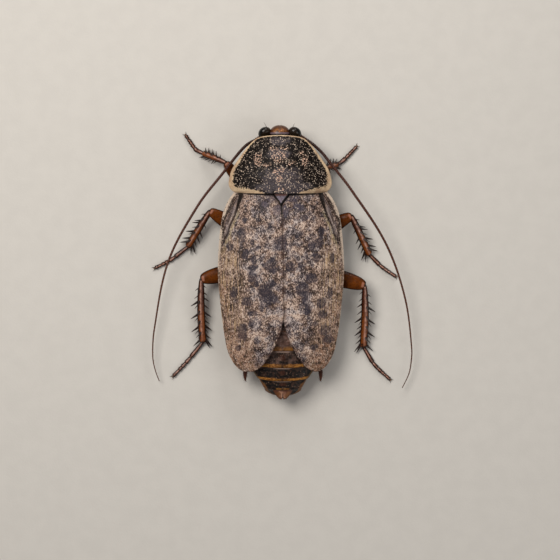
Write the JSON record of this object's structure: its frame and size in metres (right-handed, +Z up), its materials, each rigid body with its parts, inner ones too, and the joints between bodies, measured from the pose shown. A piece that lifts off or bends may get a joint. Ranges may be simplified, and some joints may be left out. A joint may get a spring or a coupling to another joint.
{
  "type": "lobster cockroach model",
  "caption": "Still, life-size model of an adult lobster cockroach standing on its feet, wing covers closed, antennae swept back along the body.",
  "frame": {"origin": "on the floor plane under the middle of the model's bounding box", "axes": "+Y towards the head, +Z up from the floor, +X towards the animal's right side"},
  "size_m": [0.0272, 0.028, 0.0052],
  "materials": {
    "shield": "dark speckled chitin with a cream border, satin",
    "wing_cover": "mottled taupe and grey wing cover, satin",
    "scutellum": "violet-grey, satin",
    "abdomen": "black-brown plates with orange-tan rear edges, glossy",
    "tail_plate": "pinkish tan, satin",
    "head": "chestnut brown, satin",
    "eye": "black, glossy, finely facetted",
    "chestnut": "chestnut to orange-brown, glossy",
    "foot": "dark reddish brown, satin",
    "feeler": "dark reddish brown, finely ringed",
    "underside": "brown, satin"
  },
  "bodies": {
    "root": {"head": "head", "labrum": "head", "pronotum": "shield", "scutellum": "scutellum", "prothorax": "underside", "thorax": "underside", "abdomen": "abdomen", "supra_anal_plate": "tail_plate", "eye_left": "eye", "tegmen_left": "wing_cover", "palp_left": "chestnut", "cercus_left": "feeler", "antenna_left_scape": "feeler", "antenna_left_base": "feeler", "antenna_left_middle": "feeler", "antenna_left_tip": "feeler", "coxa_front_left": "chestnut", "femur_front_left": "chestnut", "tibia_front_left": "chestnut", "tarsus_front_left": "foot", "coxa_middle_left": "chestnut", "femur_middle_left": "chestnut", "tibia_middle_left": "chestnut", "tarsus_middle_left": "foot", "coxa_hind_left": "chestnut", "femur_hind_left": "chestnut", "tibia_hind_left": "chestnut", "tarsus_hind_left": "foot", "eye_right": "eye", "tegmen_right": "wing_cover", "palp_right": "chestnut", "cercus_right": "feeler", "antenna_right_scape": "feeler", "antenna_right_base": "feeler", "antenna_right_middle": "feeler", "antenna_right_tip": "feeler", "coxa_front_right": "chestnut", "femur_front_right": "chestnut", "tibia_front_right": "chestnut", "tarsus_front_right": "foot", "coxa_middle_right": "chestnut", "femur_middle_right": "chestnut", "tibia_middle_right": "chestnut", "tarsus_middle_right": "foot", "coxa_hind_right": "chestnut", "femur_hind_right": "chestnut", "tibia_hind_right": "chestnut", "tarsus_hind_right": "foot"}
  },
  "joints": []
}
